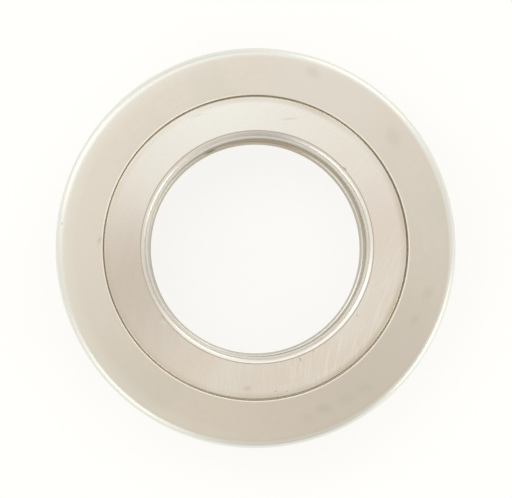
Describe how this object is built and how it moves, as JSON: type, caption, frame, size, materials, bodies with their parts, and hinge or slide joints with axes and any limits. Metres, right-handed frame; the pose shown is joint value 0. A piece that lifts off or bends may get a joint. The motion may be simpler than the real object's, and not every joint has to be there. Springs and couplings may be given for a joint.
{
  "type": "thrust ball bearing",
  "caption": "Banded thrust ball bearing: two grooved steel washers with caged balls between them, held in a pressed steel band that leaves a raised ring face free to turn.",
  "frame": {"origin": "centre of the seat face, on the bearing's axis, where the stationary washer rests", "axes": "+Z along the bearing's axis from the seat face to the thrust face; +X and +Y are any two directions across it, with ball_01 on +X"},
  "size_m": [0.0826, 0.0826, 0.0191],
  "materials": {
    "ground_washer_steel": "surface ground, satin, with polished rounded edges",
    "stationary_washer_steel": "turned and hardened, satin, light oil film",
    "pressed_band_steel": "deep drawn sheet, fine satin",
    "cage_steel": "pressed sheet, matt, oiled",
    "ball_steel": "lapped bearing steel, mirror bright"
  },
  "bodies": {
    "stationary": {"stationary_washer": "stationary_washer_steel", "band_shell": "pressed_band_steel"},
    "rotating": {"rotating_washer": "ground_washer_steel"},
    "cage": {"ball_cage": "cage_steel"},
    "ball_01": {"ball_01": "ball_steel"},
    "ball_02": {"ball_02": "ball_steel"},
    "ball_03": {"ball_03": "ball_steel"},
    "ball_04": {"ball_04": "ball_steel"},
    "ball_05": {"ball_05": "ball_steel"},
    "ball_06": {"ball_06": "ball_steel"},
    "ball_07": {"ball_07": "ball_steel"},
    "ball_08": {"ball_08": "ball_steel"},
    "ball_09": {"ball_09": "ball_steel"},
    "ball_10": {"ball_10": "ball_steel"},
    "ball_11": {"ball_11": "ball_steel"},
    "ball_12": {"ball_12": "ball_steel"},
    "ball_13": {"ball_13": "ball_steel"},
    "ball_14": {"ball_14": "ball_steel"},
    "ball_15": {"ball_15": "ball_steel"},
    "ball_16": {"ball_16": "ball_steel"},
    "ball_17": {"ball_17": "ball_steel"},
    "ball_18": {"ball_18": "ball_steel"}
  },
  "joints": [
    {"name": "washer_spin", "type": "hinge", "parent": "stationary", "child": "rotating", "pos_m": [0, 0, 0.009], "axis": [0, 0, 1], "continuous": true},
    {"name": "cage_spin", "type": "hinge", "parent": "stationary", "child": "cage", "pos_m": [0, 0, 0.009], "axis": [0, 0, 1], "continuous": true},
    {"name": "ball_01_spin", "type": "hinge", "parent": "cage", "child": "ball_01", "pos_m": [0.031, 0, 0.009], "axis": [1, 0, 0], "continuous": true},
    {"name": "ball_02_spin", "type": "hinge", "parent": "cage", "child": "ball_02", "pos_m": [0.02913, 0.0106, 0.009], "axis": [0.9397, 0.342, 0], "continuous": true},
    {"name": "ball_03_spin", "type": "hinge", "parent": "cage", "child": "ball_03", "pos_m": [0.02375, 0.01993, 0.009], "axis": [0.766, 0.6428, 0], "continuous": true},
    {"name": "ball_04_spin", "type": "hinge", "parent": "cage", "child": "ball_04", "pos_m": [0.0155, 0.02685, 0.009], "axis": [0.5, 0.866, 0], "continuous": true},
    {"name": "ball_05_spin", "type": "hinge", "parent": "cage", "child": "ball_05", "pos_m": [0.00538, 0.03053, 0.009], "axis": [0.1736, 0.9848, 0], "continuous": true},
    {"name": "ball_06_spin", "type": "hinge", "parent": "cage", "child": "ball_06", "pos_m": [-0.00538, 0.03053, 0.009], "axis": [-0.1736, 0.9848, 0], "continuous": true},
    {"name": "ball_07_spin", "type": "hinge", "parent": "cage", "child": "ball_07", "pos_m": [-0.0155, 0.02685, 0.009], "axis": [-0.5, 0.866, 0], "continuous": true},
    {"name": "ball_08_spin", "type": "hinge", "parent": "cage", "child": "ball_08", "pos_m": [-0.02375, 0.01993, 0.009], "axis": [-0.766, 0.6428, 0], "continuous": true},
    {"name": "ball_09_spin", "type": "hinge", "parent": "cage", "child": "ball_09", "pos_m": [-0.02913, 0.0106, 0.009], "axis": [-0.9397, 0.342, 0], "continuous": true},
    {"name": "ball_10_spin", "type": "hinge", "parent": "cage", "child": "ball_10", "pos_m": [-0.031, 0, 0.009], "axis": [-1, 0, 0], "continuous": true},
    {"name": "ball_11_spin", "type": "hinge", "parent": "cage", "child": "ball_11", "pos_m": [-0.02913, -0.0106, 0.009], "axis": [-0.9397, -0.342, 0], "continuous": true},
    {"name": "ball_12_spin", "type": "hinge", "parent": "cage", "child": "ball_12", "pos_m": [-0.02375, -0.01993, 0.009], "axis": [-0.766, -0.6428, 0], "continuous": true},
    {"name": "ball_13_spin", "type": "hinge", "parent": "cage", "child": "ball_13", "pos_m": [-0.0155, -0.02685, 0.009], "axis": [-0.5, -0.866, 0], "continuous": true},
    {"name": "ball_14_spin", "type": "hinge", "parent": "cage", "child": "ball_14", "pos_m": [-0.00538, -0.03053, 0.009], "axis": [-0.1736, -0.9848, 0], "continuous": true},
    {"name": "ball_15_spin", "type": "hinge", "parent": "cage", "child": "ball_15", "pos_m": [0.00538, -0.03053, 0.009], "axis": [0.1736, -0.9848, 0], "continuous": true},
    {"name": "ball_16_spin", "type": "hinge", "parent": "cage", "child": "ball_16", "pos_m": [0.0155, -0.02685, 0.009], "axis": [0.5, -0.866, 0], "continuous": true},
    {"name": "ball_17_spin", "type": "hinge", "parent": "cage", "child": "ball_17", "pos_m": [0.02375, -0.01993, 0.009], "axis": [0.766, -0.6428, 0], "continuous": true},
    {"name": "ball_18_spin", "type": "hinge", "parent": "cage", "child": "ball_18", "pos_m": [0.02913, -0.0106, 0.009], "axis": [0.9397, -0.342, 0], "continuous": true}
  ],
  "couplings": [
    {"joint": "cage_spin", "follows": "washer_spin", "ratio": 0.5},
    {"joint": "ball_01_spin", "follows": "washer_spin", "ratio": -3.5506},
    {"joint": "ball_02_spin", "follows": "washer_spin", "ratio": -3.5506},
    {"joint": "ball_03_spin", "follows": "washer_spin", "ratio": -3.5506},
    {"joint": "ball_04_spin", "follows": "washer_spin", "ratio": -3.5506},
    {"joint": "ball_05_spin", "follows": "washer_spin", "ratio": -3.5506},
    {"joint": "ball_06_spin", "follows": "washer_spin", "ratio": -3.5506},
    {"joint": "ball_07_spin", "follows": "washer_spin", "ratio": -3.5506},
    {"joint": "ball_08_spin", "follows": "washer_spin", "ratio": -3.5506},
    {"joint": "ball_09_spin", "follows": "washer_spin", "ratio": -3.5506},
    {"joint": "ball_10_spin", "follows": "washer_spin", "ratio": -3.5506},
    {"joint": "ball_11_spin", "follows": "washer_spin", "ratio": -3.5506},
    {"joint": "ball_12_spin", "follows": "washer_spin", "ratio": -3.5506},
    {"joint": "ball_13_spin", "follows": "washer_spin", "ratio": -3.5506},
    {"joint": "ball_14_spin", "follows": "washer_spin", "ratio": -3.5506},
    {"joint": "ball_15_spin", "follows": "washer_spin", "ratio": -3.5506},
    {"joint": "ball_16_spin", "follows": "washer_spin", "ratio": -3.5506},
    {"joint": "ball_17_spin", "follows": "washer_spin", "ratio": -3.5506},
    {"joint": "ball_18_spin", "follows": "washer_spin", "ratio": -3.5506}
  ]
}
